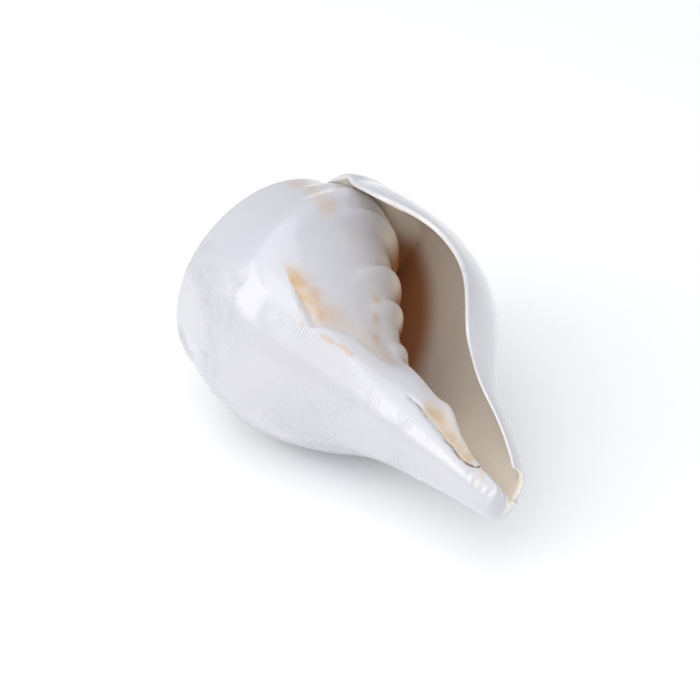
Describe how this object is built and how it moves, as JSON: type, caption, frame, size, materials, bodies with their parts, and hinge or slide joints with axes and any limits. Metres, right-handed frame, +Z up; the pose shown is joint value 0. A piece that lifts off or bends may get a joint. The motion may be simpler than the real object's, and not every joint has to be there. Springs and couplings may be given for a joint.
{
  "type": "conch shell",
  "caption": "Polished white chank conch lying on its back, mouth up, with a folded pillar in the mouth and an open canal running to a narrow tip.",
  "frame": {"origin": "under the middle of the bounding box, on the surface that the shell lies on", "axes": "+Z up out of the mouth side, +X along the shell towards the tip of the canal, +Y across it towards the outer lip"},
  "size_m": [0.1304, 0.0798, 0.0767],
  "materials": {
    "polished_shell": "polished white shell, porcelain-like gloss with fine spiral threads, cream mouth browning deep inside, tan stain left in the recesses"
  },
  "bodies": {
    "root": {"shell": "polished_shell"}
  },
  "joints": []
}
